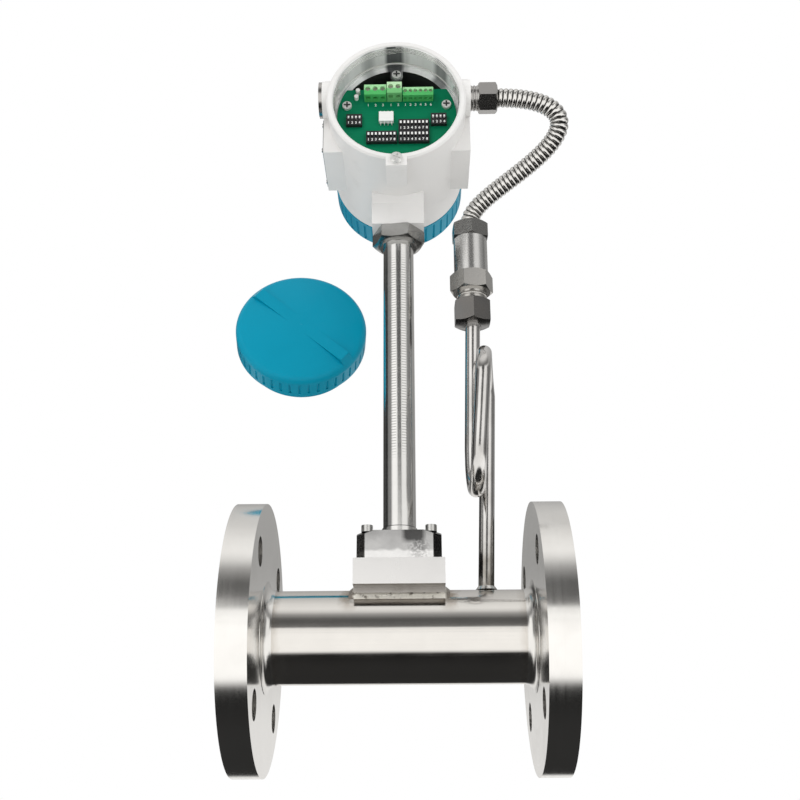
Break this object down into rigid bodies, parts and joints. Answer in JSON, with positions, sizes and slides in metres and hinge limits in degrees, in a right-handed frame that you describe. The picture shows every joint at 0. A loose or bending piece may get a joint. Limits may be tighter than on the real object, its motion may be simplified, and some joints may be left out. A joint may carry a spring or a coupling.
{
  "type": "vortex flow meter",
  "caption": "Flanged pipeline flow meter: steel tube, stem, two-chamber head with open terminal side, pressure sensor on a coiled siphon, flexible conduit and a loose screw cover.",
  "frame": {"origin": "centre of the inlet sealing face, on the pipe axis", "axes": "+X along the pipe from inlet to outlet, +Y towards the display side, +Z along the stem from the pipe to the head"},
  "size_m": [0.2383, 0.165, 0.4779],
  "materials": {
    "pipe_steel": "polished stainless steel",
    "flange_steel": "turned stainless steel",
    "weld_metal": "heat-tinted weld",
    "seat_steel": "ground stainless steel",
    "bonnet_steel": "polished cast stainless steel",
    "screw_steel": "bright zinc plate",
    "nut_steel": "machined stainless steel",
    "fitting_steel": "dark machined stainless steel",
    "siphon_steel": "drawn stainless tube",
    "conduit_metal": "corrugated bright metal",
    "housing_paint": "light grey powder coat, satin",
    "cover_paint": "teal enamel, semi-gloss",
    "plate_metal": "brushed plate",
    "seal_rubber": "matt",
    "lead_jacket": "matt",
    "window_glass": "clear",
    "board_green": "solder-resist green",
    "screen_black": "gloss",
    "key_plastic": "matt",
    "terminal_green": "moulded",
    "switch_black": "moulded",
    "white_plastic": "moulded"
  },
  "bodies": {
    "root": {"flow_tube": "pipe_steel", "inlet_flange": "flange_steel", "outlet_flange": "flange_steel", "weld_beads": "weld_metal", "shedder_bar": "flange_steel", "sensor_seat": "seat_steel", "sensor_gasket": "seal_rubber", "vortex_probe": "flange_steel", "bonnet": "bonnet_steel", "bonnet_bolts": "screw_steel", "stem": "pipe_steel", "stem_lock_nut": "nut_steel", "signal_lead": "lead_jacket", "siphon_tube": "siphon_steel", "siphon_ferrule": "flange_steel", "compression_nut": "fitting_steel", "sensor_base": "fitting_steel", "pressure_sensor": "fitting_steel", "conduit_lower_nut": "fitting_steel", "flexible_conduit": "conduit_metal", "conduit_upper_nut": "nut_steel", "gland_adapter": "nut_steel", "head_housing": "housing_paint", "entry_plug": "nut_steel", "side_plate": "plate_metal", "plate_rivets": "screw_steel", "earth_screw": "screw_steel", "front_cover": "cover_paint", "front_cover_seal": "seal_rubber", "display_board": "board_green", "display_screen": "screen_black", "display_screws": "screw_steel", "terminal_board": "board_green", "board_screws": "screw_steel", "terminal_block_3": "terminal_green", "terminal_block_2": "terminal_green", "terminal_block_6": "terminal_green", "terminal_screws": "screw_steel", "switch_bank_left": "switch_black", "switch_bank_right": "switch_black", "switch_bank_low": "switch_black", "switch_bank_upper": "switch_black", "switch_bank_lower": "switch_black", "isolation_module": "white_plastic", "capacitors": "white_plastic"},
    "rear_cover_lift": {"rear_cover_seal": "seal_rubber"},
    "rear_cover_turn": {"rear_cover": "cover_paint", "window_glass": "window_glass", "window_ring": "plate_metal"},
    "key_1": {"display_key_1": "key_plastic"},
    "key_2": {"display_key_2": "key_plastic"},
    "key_3": {"display_key_3": "key_plastic"},
    "switch_l1": {"slider_l1": "white_plastic"},
    "switch_l2": {"slider_l2": "white_plastic"},
    "switch_l3": {"slider_l3": "white_plastic"},
    "switch_l4": {"slider_l4": "white_plastic"},
    "switch_r1": {"slider_r1": "white_plastic"},
    "switch_r2": {"slider_r2": "white_plastic"},
    "switch_r3": {"slider_r3": "white_plastic"},
    "switch_r4": {"slider_r4": "white_plastic"}
  },
  "joints": [
    {"name": "cover_lift", "type": "slide", "parent": "root", "child": "rear_cover_lift", "axis": [0, 1, 0], "range_m": [0, 0.0101]},
    {"name": "cover_turn", "type": "hinge", "parent": "rear_cover_lift", "child": "rear_cover_turn", "pos_m": [0.102, 0.04, 0.348], "axis": [0, 1, 0], "range_deg": [0, 1800]},
    {"name": "key_1_press", "type": "slide", "parent": "root", "child": "key_1", "axis": [0, -1, 0], "range_m": [0, 0.0005], "stiffness_N_per_m": 400},
    {"name": "key_2_press", "type": "slide", "parent": "root", "child": "key_2", "axis": [0, -1, 0], "range_m": [0, 0.0005], "stiffness_N_per_m": 400},
    {"name": "key_3_press", "type": "slide", "parent": "root", "child": "key_3", "axis": [0, -1, 0], "range_m": [0, 0.0005], "stiffness_N_per_m": 400},
    {"name": "switch_l1_slide", "type": "slide", "parent": "root", "child": "switch_l1", "axis": [0, 0, -1], "range_m": [0, 0.002]},
    {"name": "switch_l2_slide", "type": "slide", "parent": "root", "child": "switch_l2", "axis": [0, 0, -1], "range_m": [0, 0.002]},
    {"name": "switch_l3_slide", "type": "slide", "parent": "root", "child": "switch_l3", "axis": [0, 0, -1], "range_m": [0, 0.002]},
    {"name": "switch_l4_slide", "type": "slide", "parent": "root", "child": "switch_l4", "axis": [0, 0, -1], "range_m": [0, 0.002]},
    {"name": "switch_r1_slide", "type": "slide", "parent": "root", "child": "switch_r1", "axis": [0, 0, -1], "range_m": [0, 0.002]},
    {"name": "switch_r2_slide", "type": "slide", "parent": "root", "child": "switch_r2", "axis": [0, 0, -1], "range_m": [0, 0.002]},
    {"name": "switch_r3_slide", "type": "slide", "parent": "root", "child": "switch_r3", "axis": [0, 0, -1], "range_m": [0, 0.002]},
    {"name": "switch_r4_slide", "type": "slide", "parent": "root", "child": "switch_r4", "axis": [0, 0, -1], "range_m": [0, 0.002]}
  ],
  "couplings": [
    {"joint": "cover_lift", "follows": "cover_turn", "m_per_rad": 0.00031831}
  ]
}
